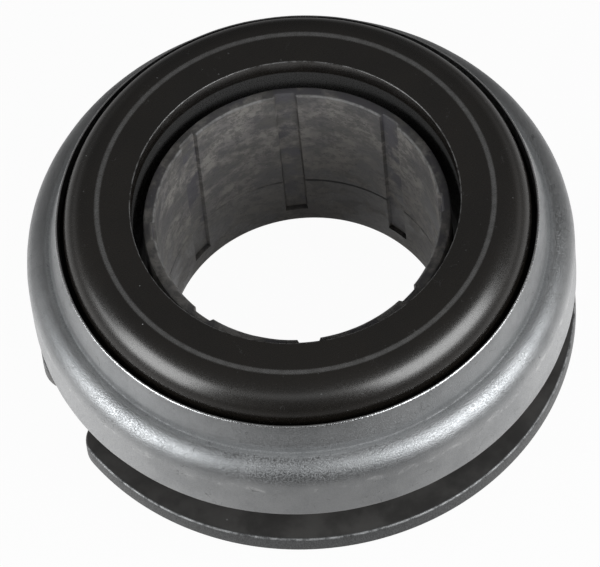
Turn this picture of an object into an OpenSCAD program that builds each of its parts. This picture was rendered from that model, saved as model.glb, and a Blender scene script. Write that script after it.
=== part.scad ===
// Clutch release bearing. A ball bearing in a pressed steel cover floats sideways on a moulded
// guide sleeve, and a notched thrust plate behind it takes the release fork.
// Millimetres. The axis is Z, the contact face looks up and the sleeve's rear end is at Z 0.

/* [Guide sleeve] */
// Diameter of the sliding lands in the bore
bore_d = 34.6; // [32:0.1:38]
// Wall of the sleeve at the lands
sleeve_wall = 1.4; // [1.2:0.1:2]
// Length of the sleeve behind the thrust plate
rear_length = 5; // [4.5:0.1:9]
// Depth of the sleeve's rim below the contact face
rim_drop = 3.6; // [2:0.1:6]
// Chamfer around the rim and the rear end
rim_chamfer = 0.3; // [0.1:0.05:0.5]
// Number of grease grooves in the bore
groove_count = 8; // [4:1:9]
// Turn of the grooves from the notches, in degrees
groove_turn = 2.5; // [0:0.5:20]
// Width of a grease groove
groove_w = 2.8; // [1.5:0.1:3]
// Depth of a grease groove
groove_depth = 0.4; // [0.2:0.05:0.6]
// Length of the plain ring of bore behind the grooves
plain_length = 2.5; // [1.5:0.1:4.5]
// Height of the slot at the foot of a groove
slot_h = 0.4; // [0.3:0.05:0.8]
// Depth of the slot at the foot of a groove
slot_depth = 0.9; // [0.65:0.05:1]
// Wall that the collar adds under the thrust plate
collar_wall = 2.2; // [1.5:0.1:3]
// Width of the shoulder behind the thrust plate
shoulder_w = 1.6; // [1:0.1:2.5]
// Thickness of the shoulder behind the thrust plate
shoulder_t = 3; // [2:0.1:3.5]

/* [Thrust plate] */
// Thickness of the thrust plate
plate_t = 2.6; // [2:0.1:4]
// Distance that the thrust plate stands out past the cover, below zero if it stands back
plate_overhang = -0.3; // [-1:0.1:3]
// Rounding of the thrust plate's rim
plate_round = 0.35; // [0.1:0.05:0.8]
// Depth of the seat in the plate's rear face that takes the sleeve's shoulder
plate_seat = 1.2; // [0.5:0.1:1.5]
// Number of locating notches
notch_count = 2; // [1:1:4]
// Width of a locating notch
notch_w = 6; // [4:0.1:9]
// Depth of a locating notch
notch_depth = 6; // [5:0.1:7.5]
// Rounding where a notch meets the rim
notch_round = 3.5; // [1:0.1:5]
// Rounding at the floor of a notch
notch_floor_round = 1.2; // [0.5:0.1:1.8]
// Width of the fork groove between the thrust plate and the cover
fork_gap = 6.7; // [4.5:0.1:8]
// Wall of the spacer tube in the fork groove
spacer_wall = 2.5; // [1.5:0.1:3.5]

/* [Bearing] */
// Radial play between the contact ring and the sleeve
float_play = 1.3; // [1.2:0.05:2]
// Wall of the contact ring beside the balls
ring_wall = 3.1; // [2.5:0.1:4]
// Height of the contact face above the seat of the outer ring
ring_h = 13.4; // [12.8:0.1:16]
// Width of the flat contact face
face_w = 4.05; // [3:0.05:5]
// Radius of the nose outside the contact face
nose_round = 4.4; // [3.5:0.05:5]
// Rounding of the contact ring's inner edge
face_edge_round = 0.3; // [0.1:0.05:0.6]
// Diameter of a ball
ball_d = 5.556; // [4.7:0.001:6]
// Number of balls
ball_count = 20; // [12:1:20]
// Thickness of the outer ring under its raceway
race_floor = 1.25; // [1:0.05:2]
// Wall of the outer ring beside its raceway
race_wall = 3.85; // [3:0.05:5]
// Thickness of the ball cage
cage_t = 1.1; // [0.8:0.05:1.5]
// Thickness of the front seal's lip
seal_t = 0.45; // [0.3:0.05:0.5]
// Height of the rear seal
rear_seal_h = 1; // [0.6:0.05:1.1]

/* [Cover] */
// Thickness of the cover's sheet
sheet_t = 0.8; // [0.6:0.05:1]
// Height of the plain skirt
skirt_h = 6.2; // [5.7:0.1:6.8]
// Radius of the shoulder above the skirt
cover_round = 3.55; // [3:0.05:4]
// Radius of the crease between shoulder and collar
crease_round = 0.3; // [0.2:0.1:2]
// Lean of the collar from upright, in degrees
collar_lean = 14; // [8:1:18]
// Gap between the nose and the mouth of the cover
mouth_gap = 0.75; // [0.5:0.05:1]
// Depth of the cover's mouth below the contact face
mouth_drop = 3.9; // [3.2:0.1:5]
// Width of the flat rim around the mouth
mouth_rim = 0.2; // [0.15:0.05:0.5]
// Height of the bevel inside the mouth
mouth_bevel = 1.5; // [0.8:0.1:1.8]

/* [Retention] */
// Thickness of the retaining ring
retainer_t = 1.1; // [0.8:0.05:2]
// Width of the retaining ring
retainer_w = 4.2; // [3.8:0.1:5]
// Thickness of the support plate
support_t = 2; // [1.2:0.1:3]
// Sheet of the centring spring
spring_t = 0.65; // [0.4:0.05:0.8]
// Height of the centring spring as fitted
spring_h = 1; // [0.9:0.05:1.6]
// Width of the centring spring
spring_w = 5.5; // [3:0.1:6]

/* [Hidden] */
$fn = 96;
arc_steps = 12;

// Clearances
press_gap = 0.02;
seat_gap = 0.1;
spring_gap = 0.05;
ball_play = 0.05;
pocket_play = 0.12;
cage_gap = 0.2;
seal_gap = 0.12;
float_margin = 0.5;
cut = 1;

// Levels, from the rear end up
plate_z = rear_length;
shoulder_top = plate_z + plate_seat;
shoulder_z = shoulder_top - shoulder_t;
plate_top = plate_z + plate_t;
skirt_z = plate_top + fork_gap;
retainer_z = skirt_z + seat_gap;
support_z = retainer_z + retainer_t + seat_gap;
support_top = support_z + support_t;
spring_z = support_top + spring_gap;
seat_z = spring_z + spring_h + spring_gap;
contact_z = seat_z + ring_h;
rim_z = contact_z - rim_drop;
mouth_z = contact_z - mouth_drop;

// Radii, from the bore out
bore_r = bore_d / 2;
sleeve_r = bore_r + sleeve_wall;
collar_r = sleeve_r + collar_wall;
shoulder_r = collar_r + shoulder_w;
spacer_r = collar_r + press_gap + spacer_wall;
ring_bore_r = sleeve_r + float_play;
ring_tube_r = ring_bore_r + ring_wall;
face_r = ring_bore_r + face_w;
nose_r = face_r + nose_round;

// Balls and raceways
ball_r = ball_d / 2;
race_r = ball_r + ball_play;
pitch_r = ring_tube_r + race_r;
ball_z = seat_z + race_floor + race_r;
ball_centre = [pitch_r, ball_z];
ring_race_end = 75;
outer_race_start = -105;
outer_race_drop = 0.4;
outer_race_end = -asin(outer_race_drop / race_r);
outer_top = ball_z - outer_race_drop;
nose_web = 0.4;
nose_under = ball_z + race_r + nose_web;
nose_chamfer = 0.5;
nose_land = 0.2;
nose_fillet = min(nose_round, contact_z - nose_under - nose_chamfer - nose_land);
ring_foot_z = seat_z + cage_gap;
outer_lip_gap = 1.2;
outer_lip_r = ring_tube_r + outer_lip_gap;
foot_chamfer = 0.6;

// Cover, whose shoulder is tangent to the skirt and whose crease is tangent to shoulder and collar
cover_r = pitch_r + race_r + race_wall + seat_gap + sheet_t;
skirt_in_r = cover_r - sheet_t;
bend_centre = [cover_r - cover_round, skirt_z + skirt_h];
collar_normal = [cos(collar_lean), sin(collar_lean)];
collar_along = [-sin(collar_lean), cos(collar_lean)];
mouth_in_r = nose_r + mouth_gap;
mouth_out_r = mouth_in_r + mouth_rim;
collar_reach = [mouth_out_r, mouth_z] * collar_normal;
crease_off = collar_reach + crease_round - bend_centre * collar_normal;
crease_up = sqrt(pow(cover_round + crease_round, 2) - pow(crease_off, 2));
crease_centre = bend_centre + crease_off * collar_normal + crease_up * collar_along;
crease_ray = crease_centre - bend_centre;
crease_angle = atan2(crease_ray[1], crease_ray[0]);
bevel_z = mouth_z - mouth_bevel;
bevel_r = collar_r_at(bevel_z, sheet_t);

// Retention
retainer_r = skirt_in_r - press_gap;
support_r = skirt_in_r - float_play - float_margin;
spring_r = support_r - float_margin;
plate_r = cover_r + plate_overhang;

// Front seal
seal_base_h = 0.5;
seal_bend_z = nose_under - 1.1;
seal_tip_z = nose_under - seal_gap;
seal_tip_r = nose_r - nose_chamfer;
seal_base_w = 1.1;

// Points along an arc in a section, from one angle to another
function arc(centre, r, from, to) =
    [for (i = [0:arc_steps]) let (a = from + (to - from) * i / arc_steps) centre + r * [cos(a), sin(a)]];

// Radius at a height on the line that lies a depth inside the collar's outer face
function collar_r_at(z, depth) = (collar_reach - depth - collar_normal[1] * z) / collar_normal[0];

function ball_name(i) = str("ball_", i < 10 ? "0" : "", i);

// Plain ring of rectangular section
module ring(r_in, r_out, z, h) {
    translate([0, 0, z])
        difference() {
            cylinder(r = r_out, h = h);
            translate([0, 0, -cut]) cylinder(r = r_in, h = h + 2 * cut);
        }
}

// Part of a bore that is widened to a radius over a groove's width
module bore_groove(r, z, h) {
    intersection() {
        translate([0, -groove_w / 2, z]) cube([r, groove_w, h]);
        cylinder(r = r, h = z + h + cut);
    }
}

module guide_sleeve() {
    section = [
        [bore_r + rim_chamfer, 0],
        [sleeve_r, 0],
        [sleeve_r, shoulder_z],
        [shoulder_r, shoulder_z],
        [shoulder_r, shoulder_top],
        [collar_r, shoulder_top],
        [collar_r, support_z],
        [sleeve_r, support_z],
        [sleeve_r, rim_z - rim_chamfer],
        [sleeve_r - rim_chamfer, rim_z],
        [bore_r + rim_chamfer, rim_z],
        [bore_r, rim_z - rim_chamfer],
        [bore_r, rim_chamfer]
    ];
    color([0.29, 0.29, 0.28])
        difference() {
            rotate_extrude() polygon(section);
            for (i = [1:groove_count])
                rotate(groove_turn + (i - 0.5) * 360 / groove_count) {
                    bore_groove(bore_r + groove_depth, plain_length, rim_z);
                    bore_groove(bore_r + slot_depth, plain_length, slot_h);
                }
        }
}

// Space of one notch, with a round floor and with its mouth rounded into the plate's rim
module notch_space() {
    corner_y = notch_w / 2 + notch_round;
    corner_x = sqrt(pow(plate_r - notch_round, 2) - pow(corner_y, 2));
    mouth_y = plate_r * corner_y / (plate_r - notch_round);
    floor_x = min(plate_r - notch_depth, corner_x - notch_floor_round);
    inner_y = notch_w / 2 - notch_floor_round;
    depth = plate_r + cut - floor_x;
    h = plate_t + 2 * cut;
    translate([0, 0, plate_z - cut]) {
        translate([floor_x, -inner_y, 0]) cube([depth, 2 * inner_y, h]);
        translate([floor_x + notch_floor_round, -notch_w / 2, 0]) cube([depth, notch_w, h]);
        for (side = [-1, 1])
            translate([floor_x + notch_floor_round, side * inner_y, 0])
                cylinder(r = notch_floor_round, h = h);
        difference() {
            translate([corner_x, -mouth_y, 0]) cube([plate_r + cut - corner_x, 2 * mouth_y, h]);
            for (side = [-1, 1])
                translate([corner_x, side * corner_y, -cut]) cylinder(r = notch_round, h = h + 2 * cut);
        }
    }
}

module thrust_plate() {
    rim_r = plate_r - plate_round;
    bore_edge = [collar_r + press_gap, plate_top];
    section = concat(
        [bore_edge, [bore_edge[0], shoulder_top]],
        [[shoulder_r + press_gap, shoulder_top], [shoulder_r + press_gap, plate_z]],
        arc([rim_r, plate_z + plate_round], plate_round, -90, 0),
        arc([rim_r, plate_top - plate_round], plate_round, 0, 90)
    );
    color([0.25, 0.25, 0.25])
        difference() {
            rotate_extrude() polygon(section);
            for (i = [0:notch_count - 1])
                rotate(i * 360 / notch_count) notch_space();
        }
}

module spacer_tube() {
    color([0.3, 0.3, 0.3]) ring(collar_r + press_gap, spacer_r, plate_top, support_z - plate_top);
}

module support_plate() {
    color([0.5, 0.5, 0.5]) ring(sleeve_r + press_gap, support_r, support_z, support_t);
}

module retaining_ring() {
    color([0.55, 0.55, 0.55]) ring(retainer_r - retainer_w, retainer_r, retainer_z, retainer_t);
}

// Coned disc that stands on its inner edge
module centring_spring() {
    in_r = spring_r - spring_w;
    color([0.35, 0.35, 0.38])
        rotate_extrude()
            polygon([
                [in_r, spring_z],
                [spring_r, spring_z + spring_h - spring_t],
                [spring_r, spring_z + spring_h],
                [in_r, spring_z + spring_t]
            ]);
}

module outer_ring() {
    out_r = skirt_in_r - seat_gap;
    out_round = cover_round - sheet_t - seat_gap;
    top_angle = asin((outer_top - bend_centre[1]) / out_round);
    section = concat(
        [[outer_lip_r, seat_z], [out_r - foot_chamfer, seat_z], [out_r, seat_z + foot_chamfer]],
        arc(bend_centre, out_round, 0, top_angle),
        arc(ball_centre, race_r, outer_race_end, outer_race_start),
        [[outer_lip_r, ball_z + race_r * sin(outer_race_start)]]
    );
    color([0.66, 0.66, 0.66]) rotate_extrude() polygon(section);
}

module ball(i) {
    color([0.82, 0.82, 0.82])
        rotate(i * 360 / ball_count) translate([pitch_r, 0, ball_z]) sphere(r = ball_r);
}

// Coned comb whose rim lies inside the ring of balls and whose pockets open outwards
module ball_cage() {
    lean = cage_t / sqrt(2);
    reach = 0.6 * ball_r;
    in_r = ring_tube_r + cage_gap;
    foot_z = seat_z + spring_gap + rear_seal_h + 2 * cage_gap + seat_gap;
    low = pitch_r - ball_z + lean;
    high = pitch_r - ball_z - lean;
    tip = ball_centre + [reach, reach];
    section = [
        [in_r, foot_z],
        [foot_z + low, foot_z],
        tip + [lean, -lean] / 2,
        tip + [-lean, lean] / 2,
        [in_r, in_r - high]
    ];
    color([0.16, 0.2, 0.3])
        difference() {
            rotate_extrude() polygon(section);
            for (i = [1:ball_count])
                rotate(i * 360 / ball_count)
                    translate([pitch_r, 0, ball_z]) sphere(r = ball_r + pocket_play);
        }
}

module contact_ring() {
    section = concat(
        [[ring_bore_r, ring_foot_z], [ring_tube_r, ring_foot_z]],
        arc(ball_centre, race_r, 180, ring_race_end),
        [[pitch_r + race_r * cos(ring_race_end), nose_under]],
        [[nose_r - nose_chamfer, nose_under], [nose_r, nose_under + nose_chamfer]],
        arc([nose_r - nose_fillet, contact_z - nose_fillet], nose_fillet, 0, 90),
        arc([ring_bore_r + face_edge_round, contact_z - face_edge_round], face_edge_round, 90, 180)
    );
    color([0.13, 0.13, 0.13]) rotate_extrude() polygon(section);
}

module rear_seal() {
    color([0.1, 0.1, 0.1])
        ring(ring_tube_r + seat_gap, outer_lip_r - press_gap, seat_z + spring_gap, rear_seal_h);
}

// Base on the outer ring, lip along the inside of the collar, tip under the nose
module front_seal() {
    back = sheet_t + seal_gap;
    base_z = outer_top + press_gap;
    neck_z = base_z + seal_base_h;
    neck_r = collar_r_at(neck_z, back);
    color([0.12, 0.12, 0.12])
        rotate_extrude()
            polygon([
                [pitch_r + race_r + seal_gap, base_z],
                [neck_r + seal_base_w, base_z],
                [neck_r + seal_base_w - seal_base_h / 2, neck_z],
                [neck_r, neck_z],
                [collar_r_at(seal_bend_z, back), seal_bend_z],
                [seal_tip_r, seal_tip_z],
                [seal_tip_r - seal_t, seal_tip_z],
                [collar_r_at(seal_bend_z - seal_t, back + seal_t), seal_bend_z - seal_t],
                [collar_r_at(neck_z, back + seal_t), neck_z]
            ]);
}

module cover() {
    section = concat(
        [[skirt_in_r, skirt_z], [cover_r, skirt_z]],
        arc(bend_centre, cover_round, 0, crease_angle),
        arc(crease_centre, crease_round, 180 + crease_angle, 180 + collar_lean),
        [[mouth_out_r, mouth_z], [mouth_in_r, mouth_z], [bevel_r, bevel_z]],
        arc(crease_centre, crease_round + sheet_t, 180 + collar_lean, 180 + crease_angle),
        arc(bend_centre, cover_round - sheet_t, crease_angle, 0)
    );
    color([0.74, 0.75, 0.75]) rotate_extrude() polygon(section);
}

guide_sleeve();
thrust_plate();
spacer_tube();
support_plate();
retaining_ring();
centring_spring();
outer_ring();
ball_cage();
contact_ring();
rear_seal();
front_seal();
cover();
for (i = [1:ball_count])
    ball(i);
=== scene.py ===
import math

import bmesh
import bpy
from mathutils import Matrix, Vector, noise


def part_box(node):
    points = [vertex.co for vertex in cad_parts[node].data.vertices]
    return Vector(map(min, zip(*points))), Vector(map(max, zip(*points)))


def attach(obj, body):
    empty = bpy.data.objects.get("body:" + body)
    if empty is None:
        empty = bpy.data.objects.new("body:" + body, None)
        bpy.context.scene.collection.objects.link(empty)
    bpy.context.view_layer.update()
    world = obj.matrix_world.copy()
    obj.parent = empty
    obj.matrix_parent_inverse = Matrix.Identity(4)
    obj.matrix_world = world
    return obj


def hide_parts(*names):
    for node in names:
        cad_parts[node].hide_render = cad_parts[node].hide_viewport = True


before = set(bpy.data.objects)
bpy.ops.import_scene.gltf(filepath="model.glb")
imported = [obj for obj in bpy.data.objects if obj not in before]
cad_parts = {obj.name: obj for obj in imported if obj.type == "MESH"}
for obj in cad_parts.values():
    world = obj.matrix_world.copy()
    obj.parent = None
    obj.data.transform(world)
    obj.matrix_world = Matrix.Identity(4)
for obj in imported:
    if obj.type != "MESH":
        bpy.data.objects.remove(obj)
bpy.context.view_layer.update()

# Guide sleeve
# A tube of dark glass-filled nylon that slides on the gearbox's guide tube. It is moulded in one shot with
# eight grease grooves in its bore, a slot at the foot of each, and a collar that carries the thrust plate.

MM = 0.001
BORE_R = 17.3
SLEEVE_R = 18.7
COLLAR_R = 20.9
SLEEVE_SHOULDER_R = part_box("guide_sleeve")[1].x / MM
RIM_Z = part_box("guide_sleeve")[1].z / MM
PLATE_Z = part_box("thrust_plate")[0].z / MM
PLATE_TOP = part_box("thrust_plate")[1].z / MM
SUPPORT_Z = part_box("support_plate")[0].z / MM
PLATE_SEAT = 1.2
SLEEVE_SHOULDER_T = 3.0
SLEEVE_SHOULDER_TOP = PLATE_Z + PLATE_SEAT
SLEEVE_SHOULDER_Z = SLEEVE_SHOULDER_TOP - SLEEVE_SHOULDER_T
GROOVES = 8
GROOVE_TURN = math.radians(2.5)
GROOVE_W = 2.8
GROOVE_DEPTH = 0.4
GROOVE_DRAFT = 0.22
SLOT_DEPTH = 0.9
PLAIN_LENGTH = 2.5
SLOT_H = 0.4
SEAM_Z = 9.2
SEAM_W = 0.3
SEAM_DEPTH = 0.1
SEAM_TURN = math.radians(47.5)
LAND_ROW_Z = SEAM_Z + 4.0
LAND_STEPS = 12
RIM_CHAMFER = 0.3
RIM_EASE = 0.3 * RIM_CHAMFER
BORE_CHAMFER = 0.6 * RIM_CHAMFER
RIM_FLASH = 0.07
FLASH_REACH = 0.5
FLASH_LUMPS = 9
FLASH_TOP = 0.6
MERGE_POINTS = 1e-7
MERGE_COPIES = 1e-6


def arc(centre, radius, start, end, steps=14):
    """Points of a section along an arc, angles in degrees from straight out."""
    turn = [math.radians(start + (end - start) * i / steps) for i in range(steps + 1)]
    return [(centre[0] + radius * math.cos(t), centre[1] + radius * math.sin(t)) for t in turn]


def around(section, angle):
    """A section of (radius, height) in millimetres, stood at an angle about the axis, in metres."""
    return [Vector((r * math.cos(angle), r * math.sin(angle), z)) * MM for r, z in section]


def skin(name, columns, ring=True):
    """Mesh through a row of closed sections, with equal points shared and empty faces left out."""
    numbers = {}
    points = []
    faces = []

    def number(point):
        key = tuple(round(c, 8) for c in point)
        if key not in numbers:
            numbers[key] = len(points)
            points.append(key)
        return numbers[key]

    rows = [[number(p) for p in column] for column in columns]
    pairs = list(zip(rows, rows[1:]))
    if ring:
        pairs.append((rows[-1], rows[0]))
    for left, right in pairs:
        for i in range(len(left)):
            j = (i + 1) % len(left)
            corners = []
            for corner in (left[i], right[i], right[j], left[j]):
                if corner not in corners:
                    corners.append(corner)
            if len(corners) > 2:
                faces.append(corners)
    mesh = bpy.data.meshes.new(name)
    mesh.from_pydata(points, [], faces)
    return mesh


def smooth(mesh, sharp=32):
    """Turns the faces outwards and shades them smooth, apart from edges over an angle."""
    work = bmesh.new()
    work.from_mesh(mesh)
    bmesh.ops.remove_doubles(work, verts=work.verts, dist=MERGE_POINTS)
    bmesh.ops.recalc_face_normals(work, faces=work.faces)
    work.to_mesh(mesh)
    work.free()
    mesh.shade_smooth()
    mesh.set_sharp_from_angle(angle=math.radians(sharp))


def show(name, mesh, material, body, nodes):
    """Puts a finished mesh in the scene in place of its CAD nodes."""
    piece = bpy.data.objects.new(name, mesh)
    bpy.context.scene.collection.objects.link(piece)
    mesh.materials.clear()
    mesh.materials.append(material)
    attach(piece, body)
    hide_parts(*nodes)


def add(tree, kind, sockets=None, **settings):
    """Adds a node. A socket takes a plain value or another node's output."""
    made = tree.nodes.new(kind)
    for name, value in settings.items():
        setattr(made, name, value)
    for key, value in (sockets or {}).items():
        if isinstance(value, bpy.types.NodeSocket):
            tree.links.new(value, made.inputs[key])
        else:
            made.inputs[key].default_value = value
    return made


def math_node(tree, operation, a, b=0.0, c=0.0):
    """Result of one operation on up to three numbers."""
    return add(tree, "ShaderNodeMath", {0: a, 1: b, 2: c}, operation=operation).outputs[0]


def vector_node(tree, operation, a, b=(0, 0, 0)):
    """Result of one operation on one or two vectors."""
    made = add(tree, "ShaderNodeVectorMath", {0: a, 1: b}, operation=operation)
    return made.outputs["Value" if operation in ("LENGTH", "DOT_PRODUCT") else "Vector"]


def noise_node(tree, vector, scale, detail=3.0, roughness=0.5, twist=0.0):
    """Value of a noise pattern."""
    sockets = {"Vector": vector, "Scale": scale, "Detail": detail, "Roughness": roughness,
               "Distortion": twist}
    return add(tree, "ShaderNodeTexNoise", sockets).outputs[0]


def span(tree, value, low, high, to_low=0.0, to_high=1.0):
    """Value mapped smoothly from one span to another."""
    sockets = {0: value, 1: low, 2: high, 3: to_low, 4: to_high}
    return add(tree, "ShaderNodeMapRange", sockets, interpolation_type="SMOOTHSTEP").outputs[0]


def mix_colour(tree, share, first, second):
    """Colour between two others."""
    return add(tree, "ShaderNodeMix", {0: share, 6: first, 7: second}, data_type="RGBA").outputs[2]


def laid(tree, mask, share, under, over):
    """One colour laid over another by a share of a mask."""
    return mix_colour(tree, math_node(tree, "MULTIPLY", mask, share), under, over)


def new_group(name, inputs, outputs):
    """Shader node group with named sockets: the tree, its inputs and its outputs."""
    tree = bpy.data.node_groups.new(name, "ShaderNodeTree")
    for label, value in inputs:
        socket = tree.interface.new_socket(label, in_out="INPUT", socket_type="NodeSocketFloat")
        socket.default_value = value
    for label, kind in outputs:
        tree.interface.new_socket(label, in_out="OUTPUT", socket_type=kind)
    return tree, tree.nodes.new("NodeGroupInput").outputs, tree.nodes.new("NodeGroupOutput").inputs


def use(tree, group, **inputs):
    """Places a group in a tree, with underscores in its input names read as spaces."""
    made = tree.nodes.new("ShaderNodeGroup")
    made.node_tree = group
    for label, value in inputs.items():
        made.inputs[label.replace("_", " ")].default_value = value
    return made.outputs


def new_material(name):
    """Material with its node tree and its surface node."""
    material = bpy.data.materials.new(name)
    material.use_nodes = True
    return material, material.node_tree, material.node_tree.nodes["Principled BSDF"]


def grey(value, warm=0.0):
    """A neutral colour, a little warm if asked."""
    return (value * (1 + warm), value, value * (1 - warm), 1.0)


def bumped(tree, height, strength, distance):
    """Normal of a height that is so many millimetres deep."""
    sockets = {"Height": height, "Strength": strength, "Distance": distance * MM}
    return add(tree, "ShaderNodeBump", sockets).outputs[0]


# Place on a piece about its axis: millimetres out, millimetres up and the direction out
round_place, _, place_out = new_group(
    "round_place", [],
    [("Radius", "NodeSocketFloat"), ("Height", "NodeSocketFloat"),
     ("Outward", "NodeSocketVector"), ("Point", "NodeSocketVector")])
object_point = add(round_place, "ShaderNodeTexCoord").outputs["Object"]
point_mm = add(round_place, "ShaderNodeVectorMath", {0: object_point, "Scale": 1 / MM},
               operation="SCALE").outputs[0]
flat_point = vector_node(round_place, "MULTIPLY", point_mm, (1, 1, 0))
point_parts = add(round_place, "ShaderNodeSeparateXYZ", {0: point_mm})
round_place.links.new(vector_node(round_place, "LENGTH", flat_point), place_out["Radius"])
round_place.links.new(point_parts.outputs[2], place_out["Height"])
round_place.links.new(vector_node(round_place, "NORMALIZE", flat_point), place_out["Outward"])
round_place.links.new(point_mm, place_out["Point"])

# Grain and clouds of a surface: fine even grain, and soft patches a few millimetres wide
surface_grain, grain_in, grain_out = new_group(
    "surface_grain", [("Grain Scale", 6.0), ("Cloud Scale", 0.25)],
    [("Grain", "NodeSocketFloat"), ("Clouds", "NodeSocketFloat")])
grain_place = use(surface_grain, round_place)
surface_grain.links.new(
    noise_node(surface_grain, grain_place["Point"], grain_in["Grain Scale"], 2.0), grain_out["Grain"])
surface_grain.links.new(
    noise_node(surface_grain, grain_place["Point"], grain_in["Cloud Scale"], 4.0, 0.6),
    grain_out["Clouds"])

# Marks left by tools: lines that run around the axis, and lines that run along it
tool_marks, marks_in, marks_out = new_group(
    "tool_marks", [("Around Scale", 8.0), ("Along Scale", 60.0)],
    [("Around", "NodeSocketFloat"), ("Along", "NodeSocketFloat")])
marks_place = use(tool_marks, round_place)
marks_section = add(tool_marks, "ShaderNodeCombineXYZ",
                    {0: marks_place["Radius"], 1: marks_place["Height"]}).outputs[0]
marks_slow = vector_node(tool_marks, "MULTIPLY", marks_place["Point"], (0.002, 0.002, 0.012))
marks_ray = vector_node(tool_marks, "ADD", marks_place["Outward"], marks_slow)
marks_around = noise_node(tool_marks, marks_section, marks_in["Around Scale"], 3.0)
tool_marks.links.new(marks_around, marks_out["Around"])
tool_marks.links.new(noise_node(tool_marks, marks_ray, marks_in["Along Scale"], 3.0), marks_out["Along"])

# Pale dust: small round specks, scattered by a cell pattern
dust, dust_in, dust_out = new_group(
    "dust", [("Scale", 0.6), ("Amount", 0.2), ("Size", 0.1)], [("Mask", "NodeSocketFloat")])
dust_place = use(dust, round_place)
dust_cells = add(dust, "ShaderNodeTexVoronoi",
                 {"Vector": dust_place["Point"], "Scale": dust_in["Scale"], "Randomness": 1.0})
dust_pick = add(dust, "ShaderNodeSeparateColor", {0: dust_cells.outputs["Color"]})
dust_size = math_node(dust, "MULTIPLY", dust_pick.outputs[1], dust_in["Size"])
dust_near = math_node(dust, "LESS_THAN", dust_cells.outputs["Distance"], dust_size)
dust_kept = math_node(dust, "LESS_THAN", dust_pick.outputs[0], dust_in["Amount"])
dust.links.new(math_node(dust, "MULTIPLY", dust_near, dust_kept), dust_out["Mask"])

# Line along one circle of the piece, broken in places: it marks real wear and burnish, and also painted
# highlights, a painted reflection and painted shade
wear_and_painted_light_line, line_in, line_out = new_group(
    "wear_and_painted_light_line",
    [("Edge Radius", 20.0), ("Edge Height", 10.0), ("Width", 0.3), ("Broken", 0.5), ("Wander", 0.0)],
    [("Mask", "NodeSocketFloat")])
line_place = use(wear_and_painted_light_line, round_place)
line_out_off = math_node(wear_and_painted_light_line, "SUBTRACT", line_place["Radius"], line_in["Edge Radius"])
line_sway = math_node(wear_and_painted_light_line, "SUBTRACT", noise_node(wear_and_painted_light_line, line_place["Point"], 0.3, 3.0), 0.5)
line_up = math_node(wear_and_painted_light_line, "MULTIPLY_ADD", line_sway, line_in["Wander"], line_place["Height"])
line_up_off = math_node(wear_and_painted_light_line, "SUBTRACT", line_up, line_in["Edge Height"])
line_off = add(wear_and_painted_light_line, "ShaderNodeCombineXYZ", {0: line_out_off, 1: line_up_off}).outputs[0]
line_far = math_node(
    wear_and_painted_light_line, "DIVIDE", vector_node(wear_and_painted_light_line, "LENGTH", line_off), line_in["Width"])
line_core = span(wear_and_painted_light_line, line_far, 0.35, 1.0, 1.0, 0.0)
line_breaks = span(wear_and_painted_light_line, noise_node(wear_and_painted_light_line, line_place["Point"], 0.9, 4.0, 0.65), 0.35, 0.6)
line_gone = math_node(
    wear_and_painted_light_line, "MULTIPLY", math_node(wear_and_painted_light_line, "SUBTRACT", 1.0, line_breaks), line_in["Broken"])
wear_and_painted_light_line.links.new(
    math_node(wear_and_painted_light_line, "MULTIPLY", line_core, math_node(wear_and_painted_light_line, "SUBTRACT", 1.0, line_gone)),
    line_out["Mask"])

# Hair scratches: thin winding lines, kept only in a few patches
scratches, scratch_in, scratch_out = new_group(
    "scratches", [("Scale", 0.5), ("Width", 0.01), ("Amount", 0.4)], [("Mask", "NodeSocketFloat")])
scratch_place = use(scratches, round_place)
scratch_field = noise_node(scratches, scratch_place["Point"], scratch_in["Scale"], 2.0, 0.5, 0.6)
scratch_off = math_node(scratches, "ABSOLUTE", math_node(scratches, "SUBTRACT", scratch_field, 0.5))
scratch_far = math_node(scratches, "DIVIDE", scratch_off, scratch_in["Width"])
scratch_line = span(scratches, scratch_far, 0.2, 1.0, 1.0, 0.0)
scratch_shift = vector_node(scratches, "ADD", scratch_place["Point"], (31, 7, 13))
scratch_patch = noise_node(scratches, scratch_shift, 0.45, 2.0)
scratch_kept = math_node(scratches, "GREATER_THAN", scratch_patch, math_node(
    scratches, "SUBTRACT", 1.0, scratch_in["Amount"]))
scratches.links.new(math_node(scratches, "MULTIPLY", scratch_line, scratch_kept), scratch_out["Mask"])


def sleeve_section(bore, slot, seam):
    """Section of the sleeve where its bore, its slot and its seam have these radii."""
    slot_top = PLAIN_LENGTH + SLOT_H
    return [
        (BORE_R + RIM_CHAMFER, 0), (SLEEVE_R - RIM_CHAMFER, 0), (SLEEVE_R, RIM_CHAMFER),
        (SLEEVE_R, SLEEVE_SHOULDER_Z),
        (SLEEVE_SHOULDER_R - RIM_CHAMFER, SLEEVE_SHOULDER_Z),
        (SLEEVE_SHOULDER_R, SLEEVE_SHOULDER_Z + RIM_CHAMFER),
        (SLEEVE_SHOULDER_R, SLEEVE_SHOULDER_TOP), (COLLAR_R, SLEEVE_SHOULDER_TOP),
        (COLLAR_R, SUPPORT_Z), (SLEEVE_R, SUPPORT_Z),
        (SLEEVE_R, RIM_Z - RIM_CHAMFER), (SLEEVE_R - RIM_EASE, RIM_Z - RIM_EASE),
        (SLEEVE_R - RIM_CHAMFER, RIM_Z), (bore + BORE_CHAMFER, RIM_Z),
        (bore, RIM_Z - BORE_CHAMFER),
        (bore, LAND_ROW_Z), (bore, SEAM_Z + SEAM_W / 2), (seam, SEAM_Z), (bore, SEAM_Z - SEAM_W / 2),
        (bore, slot_top), (slot, slot_top), (slot, PLAIN_LENGTH), (BORE_R, PLAIN_LENGTH),
        (BORE_R, RIM_CHAMFER),
    ]


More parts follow.
